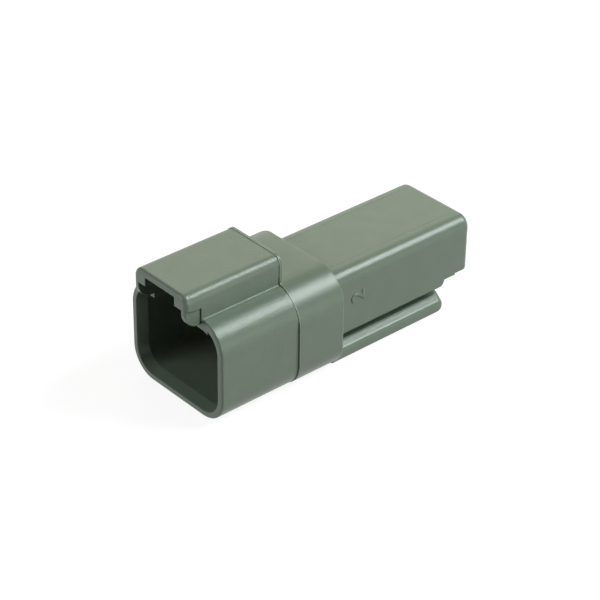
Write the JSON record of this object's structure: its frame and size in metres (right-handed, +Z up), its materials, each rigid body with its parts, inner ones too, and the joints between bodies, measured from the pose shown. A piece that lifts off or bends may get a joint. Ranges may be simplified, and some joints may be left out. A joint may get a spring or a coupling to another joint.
{
  "type": "sealed two-way connector receptacle",
  "caption": "Rectangular sealed plug-in connector half: open socket with a latch hood, collar, slim rear body on a T-shaped clip rail, turned pins, wire seal and sliding wedge lock.",
  "frame": {"origin": "under the middle of the connector, on the surface that it rests on", "axes": "-Y out of the socket towards the mating plug, +Y towards the wires, +X to the number 2 contact, +Z up through the hood"},
  "size_m": [0.0184, 0.0476, 0.0184],
  "materials": {
    "moulding": "satin, grey-green glass-filled nylon",
    "seal": "matt silicone rubber",
    "contact": "nickel plated copper alloy",
    "wedge": "satin, orange"
  },
  "bodies": {
    "receptacle": {"housing": "moulding", "wire_seal": "seal", "contact_pin_1": "contact", "contact_pin_2": "contact"},
    "lock": {"wedge_lock": "wedge"}
  },
  "joints": [
    {"name": "wedge_slide", "type": "slide", "parent": "receptacle", "child": "lock", "axis": [0, -1, 0], "range_m": [0, 0.0282]}
  ]
}
